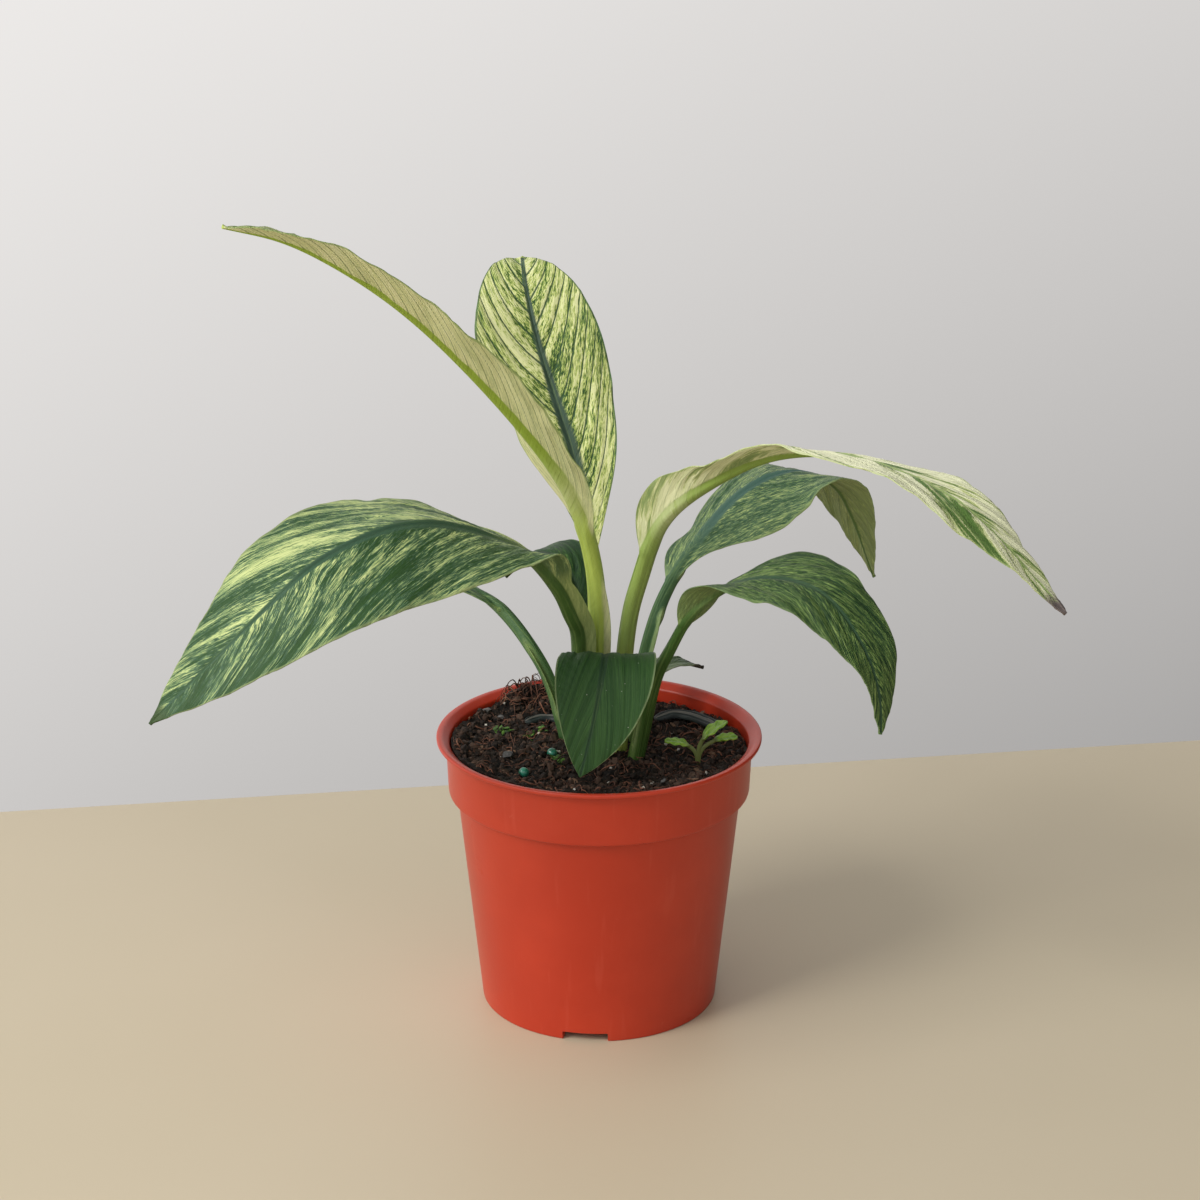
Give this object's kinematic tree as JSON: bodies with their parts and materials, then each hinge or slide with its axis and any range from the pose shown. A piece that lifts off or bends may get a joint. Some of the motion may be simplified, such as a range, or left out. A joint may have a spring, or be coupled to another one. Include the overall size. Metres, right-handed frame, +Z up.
{
  "type": "potted peace lily",
  "caption": "Young variegated peace lily with arching leaves in a round tapered plastic nursery pot, for standing on a table, shelf or floor.",
  "frame": {"origin": "on the floor, under the middle of the whole plant's bounding box; the pot's axis stands at x 0.0005, y 0.0294", "axes": "+Z up, out of the pot; +X to the viewer's right and +Y away from the viewer in the pictured view, so the long left and right leaves reach towards -X and +X"},
  "size_m": [0.2639, 0.192, 0.2836],
  "materials": {
    "pot_plastic": "satin moulded",
    "soil_peat": "rough crumbly peat",
    "leaf_upper_left": "satin, pale cream green with green veins",
    "leaf_upright_back": "satin, yellow green with dark veins",
    "leaf_large_left": "satin, marbled green, cream and blue green",
    "leaf_low_left": "satin, green streaked with pale green",
    "leaf_small_dark": "satin, dark green",
    "leaf_long_right": "satin, cream white with green streaks",
    "leaf_middle_right": "satin, grey green with fine mottling",
    "leaf_low_right": "satin, dark green streaked with pale green",
    "leaf_front_dark": "glossy dark green with a pale margin",
    "leaf_little_back": "dull grey green with a withered tip",
    "old_leaf_dark": "dull, dried",
    "seedling_green": "satin bright green"
  },
  "bodies": {
    "root": {"pot": "pot_plastic", "soil": "soil_peat", "leaf_upper_left": "leaf_upper_left", "leaf_upright_back": "leaf_upright_back", "leaf_large_left": "leaf_large_left", "leaf_low_left": "leaf_low_left", "leaf_small_dark": "leaf_small_dark", "leaf_long_right": "leaf_long_right", "leaf_middle_right": "leaf_middle_right", "leaf_low_right": "leaf_low_right", "leaf_front_dark": "leaf_front_dark", "leaf_little_back": "leaf_little_back", "old_leaf_right": "old_leaf_dark", "old_leaf_left": "old_leaf_dark", "seedling": "seedling_green"}
  },
  "joints": []
}
